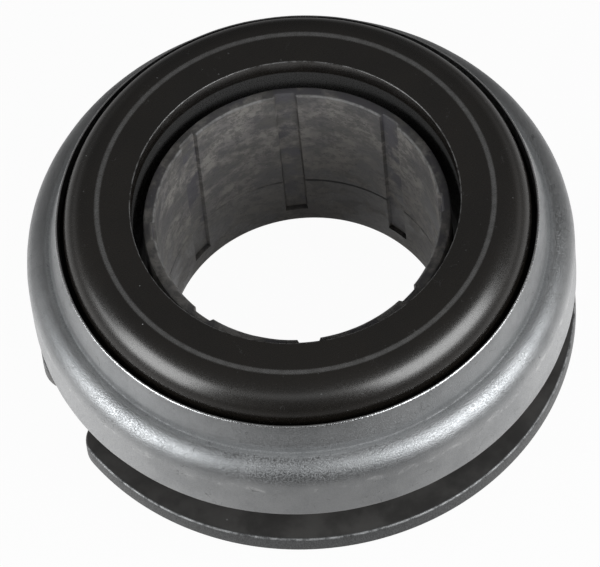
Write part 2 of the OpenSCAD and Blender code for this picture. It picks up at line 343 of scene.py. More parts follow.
land = sleeve_section(BORE_R, BORE_R, BORE_R + SEAM_DEPTH)
groove = sleeve_section(BORE_R + GROOVE_DEPTH, BORE_R + SLOT_DEPTH, BORE_R + GROOVE_DEPTH)
sector = 2 * math.pi / GROOVES
groove_half = GROOVE_W / 2 / BORE_R
groove_floor = groove_half - GROOVE_DRAFT / BORE_R
land_half = sector / 2 - groove_half
land_angles = [groove_half + land_half * i / LAND_STEPS for i in range(LAND_STEPS + 1)]
sector_columns = [around(land, -a) for a in reversed(land_angles)]
sector_columns += [around(groove, groove_floor * share) for share in (-1, -0.5, 0, 0.5, 1)]
sector_columns += [around(land, a) for a in land_angles]
sector_mesh = skin("sleeve_sector", sector_columns, ring=False)

NYLON_DARK = grey(0.12, 0.07)
NYLON_WORN = grey(0.35, 0.07)
GREASE_TINT = (0.095, 0.09, 0.105, 1.0)

sleeve_material, tree, surface = new_material("dark_moulded_nylon")
place = use(tree, round_place)
grain = use(tree, surface_grain, Grain_Scale=2.4, Cloud_Scale=0.3)
pale_dots = use(tree, dust, Scale=1.1, Amount=0.16, Size=0.16)
dark_dots = use(tree, dust, Scale=1.6, Amount=0.3, Size=0.24)
flattened = vector_node(tree, "MULTIPLY", place["Point"], (1, 1, 1.25))
worn = span(tree, noise_node(tree, flattened, 0.2, 5.0, 0.62), 0.4, 0.58)
smudge = span(tree, noise_node(tree, flattened, 0.75, 5.0, 0.78), 0.45, 0.58)
in_groove = span(tree, place["Radius"], BORE_R + 0.15, BORE_R + GROOVE_DEPTH - 0.05)
on_rim = span(tree, place["Height"], RIM_Z - 0.35, RIM_Z - 0.15)
tone = mix_colour(tree, worn, NYLON_DARK, NYLON_WORN)
tone = laid(tree, smudge, 0.6, tone, grey(0.085, 0.015))
tint = span(tree, grain["Clouds"], 0.44, 0.6)
tint = math_node(tree, "MULTIPLY", tint, math_node(tree, "MULTIPLY_ADD", in_groove, 0.55, 0.35))
tone = mix_colour(tree, tint, tone, GREASE_TINT)
lower_pad = span(tree, place["Height"], SEAM_Z + 0.1, SEAM_Z - 0.1, 0.0, 0.3)
tone = laid(tree, lower_pad, worn, tone, grey(0.2, 0.02))
tone = laid(tree, dark_dots["Mask"], 0.6, tone, grey(0.025))
tone = laid(tree, pale_dots["Mask"], 0.4, tone, grey(0.34))
tone = laid(tree, on_rim, 0.4, tone, grey(0.09, 0.03))
seam_land = vector_node(tree, "DOT_PRODUCT", place["Outward"],
                        (math.cos(SEAM_TURN), math.sin(SEAM_TURN), 0))
seam_land = span(tree, seam_land, math.cos(land_half + 0.03), math.cos(land_half - 0.02))
seam_far = math_node(tree, "ABSOLUTE", math_node(tree, "SUBTRACT", place["Height"], SEAM_Z))
seam_line = math_node(tree, "MULTIPLY", span(tree, seam_far, 0.16, 0.3, 1.0, 0.0), seam_land)
tone = laid(tree, seam_line, 0.85, tone, grey(0.008))
rim_rub = use(tree, wear_and_painted_light_line, Edge_Radius=BORE_R + 0.1, Edge_Height=RIM_Z - 0.12, Width=0.26, Broken=1.0)
tone = laid(tree, rim_rub["Mask"], 0.6, tone, grey(0.36, 0.02))
tree.links.new(tone, surface.inputs["Base Color"])
tree.links.new(span(tree, worn, 0.0, 1.0, 0.42, 0.6), surface.inputs["Roughness"])
relief = math_node(tree, "ADD", grain["Grain"], math_node(tree, "MULTIPLY", smudge, 0.5))
tree.links.new(bumped(tree, relief, 0.5, 0.07), surface.inputs["Normal"])


def copies_about_axis(name, mesh, count, material):
    """Plain mesh of one shape set at equal steps around the axis by geometry nodes."""
    tree = bpy.data.node_groups.new(name, "GeometryNodeTree")
    for label, kind in (("Shape", "NodeSocketGeometry"), ("Count", "NodeSocketInt"),
                        ("Finish", "NodeSocketMaterial")):
        tree.interface.new_socket(label, in_out="INPUT", socket_type=kind)
    tree.interface.new_socket("Ring", in_out="OUTPUT", socket_type="NodeSocketGeometry")
    given = tree.nodes.new("NodeGroupInput").outputs
    stations = add(tree, "GeometryNodePoints", {"Count": given["Count"]}).outputs[0]
    step = math_node(tree, "DIVIDE", 2 * math.pi, given["Count"])
    half_on = math_node(tree, "ADD", add(tree, "GeometryNodeInputIndex").outputs[0], 0.5)
    turn = add(tree, "ShaderNodeCombineXYZ", {2: math_node(tree, "MULTIPLY", half_on, step)}).outputs[0]
    copies = add(tree, "GeometryNodeInstanceOnPoints",
                 {"Points": stations, "Instance": given["Shape"], "Rotation": turn}).outputs[0]
    solid = add(tree, "GeometryNodeRealizeInstances", {0: copies}).outputs[0]
    joined = add(tree, "GeometryNodeMergeByDistance",
                 {"Geometry": solid, "Distance": MERGE_COPIES}).outputs[0]
    finished = add(tree, "GeometryNodeSetMaterial", {"Geometry": joined, "Material": given["Finish"]})
    tree.links.new(finished.outputs[0], tree.nodes.new("NodeGroupOutput").inputs["Ring"])
    maker = bpy.data.objects.new(name + "_maker", mesh)
    bpy.context.scene.collection.objects.link(maker)
    modifier = maker.modifiers.new(name, "NODES")
    modifier.node_group = tree
    sockets = {item.name: item.identifier for item in tree.interface.items_tree if item.in_out == "INPUT"}
    modifier[sockets["Count"]] = count
    modifier[sockets["Finish"]] = material
    ready = maker.evaluated_get(bpy.context.evaluated_depsgraph_get())
    result = bpy.data.meshes.new_from_object(ready)
    maker.modifiers.remove(modifier)
    bpy.data.objects.remove(maker)
    return result


sleeve_mesh = copies_about_axis("sleeve_sectors", sector_mesh, GROOVES, sleeve_material)
sleeve_mesh.transform(Matrix.Rotation(GROOVE_TURN, 4, "Z"))
smooth(sleeve_mesh)
for vertex in sleeve_mesh.vertices:
    near_rim = max(0.0, 1 - (RIM_Z * MM - vertex.co.z) / (FLASH_REACH * MM))
    ray = Vector((vertex.co.x, vertex.co.y, 0)) / (SLEEVE_R * MM)
    vertex.co.z += near_rim * RIM_FLASH * MM * (noise.noise(ray * FLASH_LUMPS) - FLASH_TOP)
show("sleeve", sleeve_mesh, sleeve_material, "carrier", ["guide_sleeve"])

# Thrust plate
# A flat plate stamped from thick strip and phosphated black, pushed on to the sleeve's collar. The release
# fork bears on its rear face, and a notch on each side takes a lug of the fork.

PLATE_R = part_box("thrust_plate")[1].y / MM
PLATE_ROUND = 0.35
NOTCHES = 2
NOTCH_W = 6.0
NOTCH_DEPTH = 6.0
NOTCH_ROUND = 3.5
NOTCH_FLOOR_ROUND = 1.2
PLATE_GAP = 0.02
RIM_STEPS = 110
PLATE_DARK = grey(0.07, 0.05)
PLATE_PALE = grey(0.13, 0.05)


def notch_outline():
    """Half of a notch and of the rim that follows it, from the notch's middle, as (x, y)."""
    floor_x = PLATE_R - NOTCH_DEPTH
    corner_y = NOTCH_W / 2 + NOTCH_ROUND
    corner_x = math.sqrt((PLATE_R - NOTCH_ROUND) ** 2 - corner_y ** 2)
    mouth = math.degrees(math.atan2(corner_y, corner_x))
    floor_y = NOTCH_W / 2 - NOTCH_FLOOR_ROUND
    flat = [(floor_x, floor_y * i / 3) for i in range(3)]
    floor = arc((floor_x + NOTCH_FLOOR_ROUND, floor_y), NOTCH_FLOOR_ROUND, 180, 90, 8)
    corner = arc((corner_x, corner_y), NOTCH_ROUND, -90, mouth, 14)
    rim = arc((0, 0), PLATE_R, mouth, 180 / NOTCHES, RIM_STEPS)[1:]
    return flat + floor + corner + rim


half_outline = notch_outline()
mirrored = [(x, -y) for x, y in reversed(half_outline[1:-1])]
one_notch = mirrored + half_outline
outline = []
for i in range(NOTCHES):
    turn = 2 * math.pi * i / NOTCHES
    outline += [(x * math.cos(turn) - y * math.sin(turn), x * math.sin(turn) + y * math.cos(turn))
                for x, y in one_notch]

plate_columns = []
for i, (x, y) in enumerate(outline):
    before = Vector(outline[i - 1])
    after = Vector(outline[(i + 1) % len(outline)])
    ahead = (after - before).normalized()
    outward = Vector((ahead.y, -ahead.x))
    ray = Vector((x, y)).normalized()
    bore = ray * (COLLAR_R + PLATE_GAP)
    seat = ray * (SLEEVE_SHOULDER_R + PLATE_GAP)
    edge = arc((-PLATE_ROUND, PLATE_Z + PLATE_ROUND), PLATE_ROUND, -90, 0, 5)
    edge += arc((-PLATE_ROUND, PLATE_TOP - PLATE_ROUND), PLATE_ROUND, 0, 90, 5)
    column = [Vector((bore.x, bore.y, SLEEVE_SHOULDER_TOP)), Vector((seat.x, seat.y, SLEEVE_SHOULDER_TOP)),
              Vector((seat.x, seat.y, PLATE_Z))]
    for inset, height in edge:
        column.append(Vector((x + outward.x * inset, y + outward.y * inset, height)))
    column.append(Vector((bore.x, bore.y, PLATE_TOP)))
    plate_columns.append([p * MM for p in column])
plate_mesh = skin("thrust_plate_stamped", plate_columns)
smooth(plate_mesh)

plate_material, tree, surface = new_material("black_phosphated_steel")
place = use(tree, round_place)
grain = use(tree, surface_grain, Grain_Scale=5.0, Cloud_Scale=0.16)
marks = use(tree, tool_marks, Along_Scale=240.0)
specks = use(tree, dust, Scale=0.7, Amount=0.12, Size=0.12)
on_rim = span(tree, place["Radius"], PLATE_R - 0.5, PLATE_R - 0.15)
shear = span(tree, marks["Along"], 0.4, 0.62)
tone = mix_colour(tree, span(tree, grain["Clouds"], 0.35, 0.65), PLATE_DARK, PLATE_PALE)
rim_tone = mix_colour(tree, shear, grey(0.07), grey(0.13))
tone = mix_colour(tree, on_rim, tone, rim_tone)
painted_edge_highlight = use(tree, wear_and_painted_light_line, Edge_Radius=PLATE_R - 0.1, Edge_Height=PLATE_TOP - 0.1, Width=0.2,
               Broken=1.0)
# Painted highlight: a broken pale line along the plate's top outer edge.
tone = laid(tree, painted_edge_highlight["Mask"], 0.8, tone, grey(0.5))
tone = laid(tree, specks["Mask"], 0.5, tone, grey(0.5))
tree.links.new(tone, surface.inputs["Base Color"])
surface.inputs["Metallic"].default_value = 0.35
surface.inputs["IOR"].default_value = 1.9
rough = span(tree, grain["Grain"], 0.3, 0.7, 0.36, 0.52)
tree.links.new(rough, surface.inputs["Roughness"])
relief = math_node(tree, "ADD", grain["Grain"], math_node(tree, "MULTIPLY", shear, on_rim))
tree.links.new(bumped(tree, relief, 0.3, 0.04), surface.inputs["Normal"])
show("thrust_plate_stamped", plate_mesh, plate_material, "carrier", ["thrust_plate"])

# Spacer tube and support plate
# A cut length of steel tube forms the floor of the fork groove, and a stamped plate on top of it carries
# the spring. Both are pushed on to the sleeve from the front, and the plate stays inside the cover.

TURN_STEPS = 240
TUBE_CHAMFER = 0.2
SUPPORT_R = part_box("support_plate")[1].x / MM
SUPPORT_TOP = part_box("support_plate")[1].z / MM
SPACER_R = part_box("spacer_tube")[1].x / MM


def turned(name, section, steps=TURN_STEPS, sharp=32):
    """Mesh of a section turned about the axis."""
    mesh = skin(name, [around(section, 2 * math.pi * i / steps) for i in range(steps)])
    smooth(mesh, sharp)
    return mesh


def washer(inner, outer, low, high, chamfer):
    """Section of a flat ring with broken edges."""
    return [(inner + chamfer, low), (outer - chamfer, low), (outer, low + chamfer),
            (outer, high - chamfer), (outer - chamfer, high), (inner + chamfer, high),
            (inner, high - chamfer), (inner, low + chamfer)]


def plain_steel(name, dark, pale, rough_low, rough_high, around_scale):
    """Bare steel with the marks of turning or stamping around its axis."""
    material, tree, surface = new_material(name)
    grain = use(tree, surface_grain, Grain_Scale=6.0, Cloud_Scale=0.2)
    marks = use(tree, tool_marks, Around_Scale=around_scale)
    share = math_node(tree, "MULTIPLY", span(tree, marks["Around"], 0.3, 0.7), grain["Clouds"])
    tree.links.new(mix_colour(tree, share, grey(dark), grey(pale)), surface.inputs["Base Color"])
    surface.inputs["Metallic"].default_value = 1.0
    tree.links.new(span(tree, grain["Grain"], 0.3, 0.7, rough_low, rough_high), surface.inputs["Roughness"])
    tree.links.new(bumped(tree, marks["Around"], 0.2, 0.03), surface.inputs["Normal"])
    return material


spacer_steel = plain_steel("dark_tube_steel", 0.06, 0.16, 0.38, 0.55, 5.0)
stamped_steel = plain_steel("stamped_steel", 0.26, 0.5, 0.3, 0.45, 3.0)
spacer_section = washer(COLLAR_R + PLATE_GAP, SPACER_R, PLATE_TOP, SUPPORT_Z, TUBE_CHAMFER)
support_section = washer(SLEEVE_R + PLATE_GAP, SUPPORT_R, SUPPORT_Z, SUPPORT_TOP, TUBE_CHAMFER)
show("spacer_tube_cut", turned("spacer_tube_cut", spacer_section), spacer_steel, "carrier",
     ["spacer_tube"])
show("support_plate_stamped", turned("support_plate_stamped", support_section), stamped_steel, "carrier",
     ["support_plate"])

# Centring spring
# A coned disc of blued spring steel between the support plate and the outer ring. Its friction holds the
# bearing where the clutch has centred it.

spring_low, spring_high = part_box("centring_spring")
SPRING_R = spring_high.x / MM
SPRING_FOOT = spring_low.z / MM
SPRING_TOP = spring_high.z / MM
SPRING_W = 5.5
SPRING_T = 0.65

spring_section = [
    (SPRING_R - SPRING_W, SPRING_FOOT), (SPRING_R, SPRING_TOP - SPRING_T),
    (SPRING_R, SPRING_TOP), (SPRING_R - SPRING_W, SPRING_FOOT + SPRING_T)]
blued_steel = plain_steel("blued_spring_steel", 0.1, 0.22, 0.28, 0.4, 2.0)
show("centring_disc", turned("centring_disc", spring_section), blued_steel, "slide_washer",
     ["centring_spring"])

# Outer ring and retaining ring
# The fixed race is a hardened ring with a ground raceway, set under the cover's shoulder. A stamped ring
# pressed into the skirt below it keeps the support plate inside the cover.

outer_low, outer_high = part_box("outer_ring")
retain_low, retain_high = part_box("retaining_ring")
ball_low, ball_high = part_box("ball_01")
BALL_R = (ball_high.z - ball_low.z) / 2 / MM
BALL_Z = (ball_high.z + ball_low.z) / 2 / MM
BALL_PLAY = 0.05
RACE_R = BALL_R + BALL_PLAY
RING_TUBE_R = 23.1
PITCH_R = RING_TUBE_R + RACE_R
OUTER_R = outer_high.x / MM
OUTER_SEAT = outer_low.z / MM
OUTER_TOP = outer_high.z / MM
OUTER_LIP_R = 24.3
OUTER_ROUND = 2.65
OUTER_CHAMFER = 0.6
RETAIN_R = retain_high.x / MM
RETAIN_W = 4.2
RETAIN_FOOT = retain_low.z / MM
RETAIN_TOP = retain_high.z / MM
SHOULDER_Z = 20.5
RACE_START = -105

outer_top_angle = math.degrees(math.asin((OUTER_TOP - SHOULDER_Z) / OUTER_ROUND))
race_end = -math.degrees(math.asin((BALL_Z - OUTER_TOP) / RACE_R))
outer_section = [(OUTER_LIP_R, OUTER_SEAT), (OUTER_R - OUTER_CHAMFER, OUTER_SEAT),
                 (OUTER_R, OUTER_SEAT + OUTER_CHAMFER)]
outer_section += arc((OUTER_R - OUTER_ROUND, SHOULDER_Z), OUTER_ROUND, 0, outer_top_angle)
outer_section += arc((PITCH_R, BALL_Z), RACE_R, race_end, RACE_START)
outer_section += [(OUTER_LIP_R, BALL_Z + RACE_R * math.sin(math.radians(RACE_START)))]
ground_steel = plain_steel("ground_race_steel", 0.4, 0.62, 0.16, 0.28, 10.0)
show("outer_race", turned("outer_race", outer_section), ground_steel, "bearing_housing",
     ["outer_ring"])
retain_section = washer(RETAIN_R - RETAIN_W, RETAIN_R, RETAIN_FOOT, RETAIN_TOP, TUBE_CHAMFER)
show("retaining_ring_stamped", turned("retaining_ring_stamped", retain_section), stamped_steel,
     "bearing_housing", ["retaining_ring"])

# Balls and cage
# Polished chrome-steel balls run between the two races, spaced by a moulded comb that snaps in from the
# inside. They are greased and sealed in for life.

BALLS = 20
BALL_SEGMENTS = 40
ball_mesh = bpy.data.meshes.new("one_ball")
work = bmesh.new()
bmesh.ops.create_uvsphere(work, u_segments=BALL_SEGMENTS, v_segments=BALL_SEGMENTS // 2, radius=BALL_R * MM)
bmesh.ops.translate(work, verts=work.verts, vec=Vector((PITCH_R, 0, BALL_Z)) * MM)
work.to_mesh(ball_mesh)
work.free()
ball_steel = plain_steel("polished_ball_steel", 0.55, 0.72, 0.06, 0.12, 0.5)
ball_ring = copies_about_axis("ball_ring", ball_mesh, BALLS, ball_steel)
ball_ring.transform(Matrix.Rotation(math.pi / BALLS, 4, "Z"))
ball_ring.shade_smooth()
ball_nodes = [f"ball_{i:02d}" for i in range(1, BALLS + 1)]
show("ball_ring", ball_ring, ball_steel, "cage_set", ball_nodes)

CAGE_DARK = (0.03, 0.045, 0.1, 1.0)
CAGE_PALE = (0.055, 0.08, 0.15, 1.0)


def moulded(name, dark, pale, rough_low, rough_high, grain_scale, relief):
    """Nylon or rubber with soft clouds and the even grain of its mould."""
    material, tree, surface = new_material(name)
    grain = use(tree, surface_grain, Grain_Scale=grain_scale, Cloud_Scale=0.3)
    tree.links.new(mix_colour(tree, grain["Clouds"], dark, pale), surface.inputs["Base Color"])
    tree.links.new(span(tree, grain["Grain"], 0.3, 0.7, rough_low, rough_high), surface.inputs["Roughness"])
    tree.links.new(bumped(tree, grain["Grain"], relief, 0.03), surface.inputs["Normal"])
    return material


def give_finish(node, material):
    """Gives its material to a CAD node that stays as it is."""
    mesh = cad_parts[node].data
    mesh.materials.clear()
    mesh.materials.append(material)


give_finish("ball_cage", moulded("blue_cage_nylon", CAGE_DARK, CAGE_PALE, 0.4, 0.55, 4.0, 0.2))

# Contact ring
# The rotating ring is turned from bearing steel and blacked. The clutch's spring fingers press on its flat
# face, where they have burnished a thin grey line just inside the rounded nose.

ring_low, ring_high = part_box("contact_ring")
RING_BORE_R = 20.0
NOSE_R = ring_high.x / MM
NOSE_ROUND = 4.4
FACE_R = NOSE_R - NOSE_ROUND
FACE_Z = ring_high.z / MM
FACE_EDGE = 0.14
RING_FOOT = ring_low.z / MM
NOSE_WEB = 0.4
NOSE_UNDER = BALL_Z + RACE_R + NOSE_WEB
NOSE_CHAMFER = 0.5
RING_RACE_END = 75
SHADED_BAND = 2.2
BAND_FADE = 0.3
RING_BLACK = grey(0.005, 0.28)
RING_BROWN = grey(0.008, 0.28)

ring_section = [(RING_BORE_R, RING_FOOT), (RING_TUBE_R, RING_FOOT)]
ring_section += arc((PITCH_R, BALL_Z), RACE_R, 180, RING_RACE_END)
ring_section += [(ring_section[-1][0], NOSE_UNDER), (NOSE_R - NOSE_CHAMFER, NOSE_UNDER),
                 (NOSE_R, NOSE_UNDER + NOSE_CHAMFER)]
ring_section += arc((FACE_R, FACE_Z - NOSE_ROUND), NOSE_ROUND, 0, 90, 28)
ring_section += arc((RING_BORE_R + FACE_EDGE, FACE_Z - FACE_EDGE), FACE_EDGE, 90, 180, 6)

ring_material, tree, surface = new_material("blacked_bearing_steel")
place = use(tree, round_place)
grain = use(tree, surface_grain, Grain_Scale=7.0, Cloud_Scale=0.12)
marks = use(tree, tool_marks, Around_Scale=6.0)
specks = use(tree, dust, Scale=0.55, Amount=0.2, Size=0.05)
burnish = use(tree, wear_and_painted_light_line, Edge_Radius=FACE_R, Edge_Height=FACE_Z, Width=0.42, Broken=0.25)
painted_edge_highlight = use(tree, wear_and_painted_light_line, Edge_Radius=RING_BORE_R + 0.06, Edge_Height=FACE_Z - 0.06, Width=0.12,
               Broken=1.0)
hairs = use(tree, scratches, Scale=0.55, Width=0.006, Amount=0.36)
crumbs = use(tree, dust, Scale=1.3, Amount=0.1, Size=0.13)
in_bore = span(tree, place["Radius"], RING_BORE_R + 0.12, RING_BORE_R + 0.04)
below_shaded_band = span(tree, place["Height"], FACE_Z - SHADED_BAND, FACE_Z - SHADED_BAND - BAND_FADE)
tone = mix_colour(tree, span(tree, grain["Clouds"], 0.35, 0.65), RING_BLACK, RING_BROWN)
# Painted light and shade: the bore wall is painted paler below a band under its top edge that keeps the
# ring's black, standing in for the lit wall and the shade under the edge.
tone = laid(tree, in_bore, below_shaded_band, tone, grey(0.07, 0.02))
tone = laid(tree, burnish["Mask"], 0.8, tone, grey(0.17, 0.02))
# Painted highlight: a broken pale line along the top edge of the bore.
tone = laid(tree, painted_edge_highlight["Mask"], 0.5, tone, grey(0.4, 0.01))
tone = laid(tree, hairs["Mask"], 0.25, tone, grey(0.2))
tone = laid(tree, specks["Mask"], 0.8, tone, grey(0.6))
tone = laid(tree, crumbs["Mask"], 0.35, tone, grey(0.4))
tree.links.new(tone, surface.inputs["Base Color"])
surface.inputs["IOR"].default_value = 2.1
surface.inputs["Specular Tint"].default_value = (1.0, 0.975, 0.955, 1.0)
tree.links.new(span(tree, grain["Grain"], 0.3, 0.7, 0.24, 0.33), surface.inputs["Roughness"])
relief = math_node(tree, "ADD", grain["Grain"], math_node(tree, "MULTIPLY", marks["Around"], 0.5))
tree.links.new(bumped(tree, relief, 0.12, 0.02), surface.inputs["Normal"])
show("contact_ring_turned", turned("contact_ring_turned", ring_section), ring_material, "rotor",
     ["contact_ring"])

# Seals
# Two rubber rings keep the grease in: the front one has a lip that wipes the underside of the nose, and
# the rear one fills the gap between the two races.

rubber = moulded("seal_rubber_black", grey(0.012), grey(0.03), 0.55, 0.75, 5.0, 0.3)
for seal in ("front_seal", "rear_seal"):
    give_finish(seal, rubber)

# Cover
# A shell drawn from bright steel sheet: a plain skirt, a rounded shoulder, a crease and a steep collar whose
# mouth stands close around the nose. It holds the bearing together and floats with it.

cover_low, cover_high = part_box("cover")
COVER_R = cover_high.x / MM
SKIRT_Z = cover_low.z / MM
MOUTH_Z = cover_high.z / MM
SHEET_T = 0.8
COVER_ROUND = 3.55
CREASE_ROUND = 0.3
COLLAR_LEAN = 14
MOUTH_GAP = 0.75
MOUTH_RIM = 0.2
MOUTH_BEVEL = 1.5
EDGE_ROUND = 0.2
LIP_ROUND = 0.26
SKIRT_ROWS = 10
COLLAR_ROWS = 6
COVER_STEPS = 360
DRAW_WAVE = 0.035
WAVE_SCALE = 0.16
RIPPLE_SCALE = 0.45
RIPPLE_SHARE = 0.5
WAVE_TOP = 0.6
COVER_DULL = grey(0.5, -0.012)
COVER_BRIGHT = grey(0.58, -0.008)

lean = math.radians(COLLAR_LEAN)
collar_normal = Vector((math.cos(lean), math.sin(lean)))
collar_along = Vector((-math.sin(lean), math.cos(lean)))
mouth_in_r = NOSE_R + MOUTH_GAP
bend_centre = Vector((COVER_R - COVER_ROUND, SHOULDER_Z))
mouth_out_r = mouth_in_r + MOUTH_RIM
collar_reach = Vector((mouth_out_r, MOUTH_Z)).dot(collar_normal)
crease_off = collar_reach + CREASE_ROUND - bend_centre.dot(collar_normal)
crease_up = math.sqrt((COVER_ROUND + CREASE_ROUND) ** 2 - crease_off ** 2)
crease_centre = bend_centre + crease_off * collar_normal + crease_up * collar_along
crease_ray = crease_centre - bend_centre
crease_angle = math.degrees(math.atan2(crease_ray.y, crease_ray.x))
bevel_z = MOUTH_Z - MOUTH_BEVEL
bevel_r = (collar_reach - SHEET_T - collar_normal.y * bevel_z) / collar_normal.x

cover_section = [(COVER_R - SHEET_T, SKIRT_Z + EDGE_ROUND), (COVER_R - SHEET_T + EDGE_ROUND, SKIRT_Z)]
cover_section += arc((COVER_R - EDGE_ROUND, SKIRT_Z + EDGE_ROUND), EDGE_ROUND, -90, 0, 4)
skirt_step = (SHOULDER_Z - SKIRT_Z - EDGE_ROUND) / SKIRT_ROWS
cover_section += [(COVER_R, SKIRT_Z + EDGE_ROUND + skirt_step * i) for i in range(1, SKIRT_ROWS)]
cover_section += arc(bend_centre, COVER_ROUND, 0, crease_angle, 26)
cover_section += arc(crease_centre, CREASE_ROUND, 180 + crease_angle, 180 + COLLAR_LEAN, 12)
collar_foot = cover_section[-1]
lip_z = MOUTH_Z - LIP_ROUND
lip_r = (collar_reach - LIP_ROUND - collar_normal.y * lip_z) / collar_normal.x
lip = arc((lip_r, lip_z), LIP_ROUND, COLLAR_LEAN, 90, 8)
for i in range(1, COLLAR_ROWS):
    share = i / COLLAR_ROWS
    cover_section.append((collar_foot[0] + (lip[0][0] - collar_foot[0]) * share,
                          collar_foot[1] + (lip[0][1] - collar_foot[1]) * share))
cover_section += lip + [(bevel_r, bevel_z)]
cover_section += arc(crease_centre, CREASE_ROUND + SHEET_T, 180 + COLLAR_LEAN, 180 + crease_angle, 12)
cover_section += arc(bend_centre, COVER_ROUND - SHEET_T, crease_angle, 0, 20)
cover_mesh = turned("cover_drawn", cover_section, COVER_STEPS, 40)
for vertex in cover_mesh.vertices:
    flat = Vector((vertex.co.x, vertex.co.y, 0))
    if flat.length > (COVER_R - SHEET_T) * MM or vertex.co.z > SHOULDER_Z * MM:
        wave = noise.noise(vertex.co / MM * WAVE_SCALE)
        wave += RIPPLE_SHARE * noise.noise(vertex.co / MM * RIPPLE_SCALE)
        vertex.co += flat.normalized() * min(0.0, wave - WAVE_TOP) * DRAW_WAVE * MM

cover_material, tree, surface = new_material("drawn_bright_steel")
grain = use(tree, surface_grain, Grain_Scale=9.0, Cloud_Scale=0.14)
peel = use(tree, surface_grain, Grain_Scale=5.5, Cloud_Scale=0.55)
marks = use(tree, tool_marks, Along_Scale=75.0)
specks = use(tree, dust, Scale=0.5, Amount=0.16, Size=0.1)
hairs = use(tree, scratches, Scale=0.32, Width=0.007, Amount=0.42)
bright_lip_and_highlight = use(tree, wear_and_painted_light_line, Edge_Radius=mouth_out_r - 0.08, Edge_Height=MOUTH_Z, Width=0.32,
              Broken=0.45)
foot_rub = use(tree, wear_and_painted_light_line, Edge_Radius=COVER_R, Edge_Height=SKIRT_Z + 0.15, Width=0.3, Broken=0.7)
painted_crease_shade = use(tree, wear_and_painted_light_line, Edge_Radius=crease_centre.x - 0.3, Edge_Height=crease_centre.y - 0.05,
                   Width=1.0, Broken=0.2)
corner_scuff_highlight = use(tree, wear_and_painted_light_line, Edge_Radius=COVER_R, Edge_Height=SHOULDER_Z - 0.3, Width=0.6, Broken=1.0,
            Wander=3.0)
painted_collar_reflection_r = (collar_foot[0] + lip[0][0]) / 2
painted_collar_reflection_z = (collar_foot[1] + lip[0][1]) / 2
painted_collar_reflection = use(tree, wear_and_painted_light_line, Edge_Radius=painted_collar_reflection_r, Edge_Height=painted_collar_reflection_z, Width=1.7, Broken=0.6)
drawn = math_node(tree, "ADD", math_node(tree, "MULTIPLY", marks["Along"], 0.15),
                  math_node(tree, "MULTIPLY", grain["Clouds"], 0.85))
tone = mix_colour(tree, span(tree, drawn, 0.38, 0.6), COVER_DULL, COVER_BRIGHT)
# Pale wandering marks where the shoulder meets the skirt: partly scuffs from drawing, partly a painted
# highlight along that corner.
corner_scuff_highlighted = math_node(tree, "MULTIPLY", corner_scuff_highlight["Mask"], span(tree, peel["Clouds"], 0.48, 0.62, 0.05, 0.8))
tone = mix_colour(tree, corner_scuff_highlighted, tone, grey(0.8))
# Painted reflection: a paler soft band along the middle of the collar.
tone = laid(tree, painted_collar_reflection["Mask"], 0.5, tone, grey(0.64, -0.01))
# Painted shade in the crease: darker, and rougher so that the crease's highlight is dulled.
tone = laid(tree, painted_crease_shade["Mask"], 0.55, tone, grey(0.34, -0.01))
tone = laid(tree, foot_rub["Mask"], 0.6, tone, grey(0.62))
# The mouth's lip is pale and smoother: partly the bright sheared edge, partly a painted highlight along the
# lip.
tone = mix_colour(tree, bright_lip_and_highlight["Mask"], tone, grey(0.9))
tone = laid(tree, hairs["Mask"], 0.5, tone, grey(0.16))
tone = laid(tree, specks["Mask"], 0.35, tone, grey(0.12))
tree.links.new(tone, surface.inputs["Base Color"])
surface.inputs["Metallic"].default_value = 1.0
rough = span(tree, peel["Grain"], 0.34, 0.66, 0.32, 0.58)
rough = math_node(tree, "MULTIPLY_ADD", painted_crease_shade["Mask"], 0.35, rough)
rough = math_node(tree, "MULTIPLY", rough, span(tree, bright_lip_and_highlight["Mask"], 0.0, 1.0, 1.0, 0.45))
tree.links.new(rough, surface.inputs["Roughness"])
relief = math_node(tree, "ADD", grain["Grain"], math_node(tree, "MULTIPLY", peel["Grain"], 1.7))
relief = math_node(tree, "ADD", relief, math_node(tree, "MULTIPLY", marks["Along"], 0.1))
tree.links.new(bumped(tree, relief, 0.42, 0.05), surface.inputs["Normal"])
show("cover_drawn", cover_mesh, cover_material, "bearing_housing", ["cover"])

# Studio
# A pale sheet under the part which, seen in reflections only, carries painted pools of light: brightest near
# the part and towards the side soft boxes, dimmer in front and further out. A dim room with paler walls at
# the sides, a soft box on each side, a low strip further back on the left, and a weak wide box in front,
# under the camera.

CAMERA_TURN = math.radians(-19.5)
CAMERA_RISE = math.radians(58.51)
CAMERA_ROLL = math.radians(-6.21)
CAMERA_FAR = 900 * MM
FOCAL_PIXELS = 7458
IMAGE_W = 600
SENSOR = 36.0
AIM_RIGHT = -0.50 * MM
AIM_UP = -10.0 * MM
CLIP_START = 10 * MM

right = Vector((math.cos(CAMERA_TURN), math.sin(CAMERA_TURN), 0))
away = Vector((-math.sin(CAMERA_TURN), math.cos(CAMERA_TURN), 0))
back = -away * math.cos(CAMERA_RISE) + Vector((0, 0, math.sin(CAMERA_RISE)))
up = back.cross(right)
aim = Vector((0, 0, FACE_Z * MM)) + right * AIM_RIGHT + up * AIM_UP
camera_data = bpy.data.cameras.new("camera")
camera_data.sensor_width = SENSOR
camera_data.lens = FOCAL_PIXELS / IMAGE_W * SENSOR
camera_data.clip_start = CLIP_START
camera = bpy.data.objects.new("camera", camera_data)
bpy.context.scene.collection.objects.link(camera)
camera_x = right * math.cos(CAMERA_ROLL) + up * math.sin(CAMERA_ROLL)
camera_y = back.cross(camera_x)
turn = Matrix((camera_x, camera_y, back)).transposed().to_4x4()
turn.translation = aim + back * CAMERA_FAR
camera.matrix_world = turn
bpy.context.scene.camera = camera

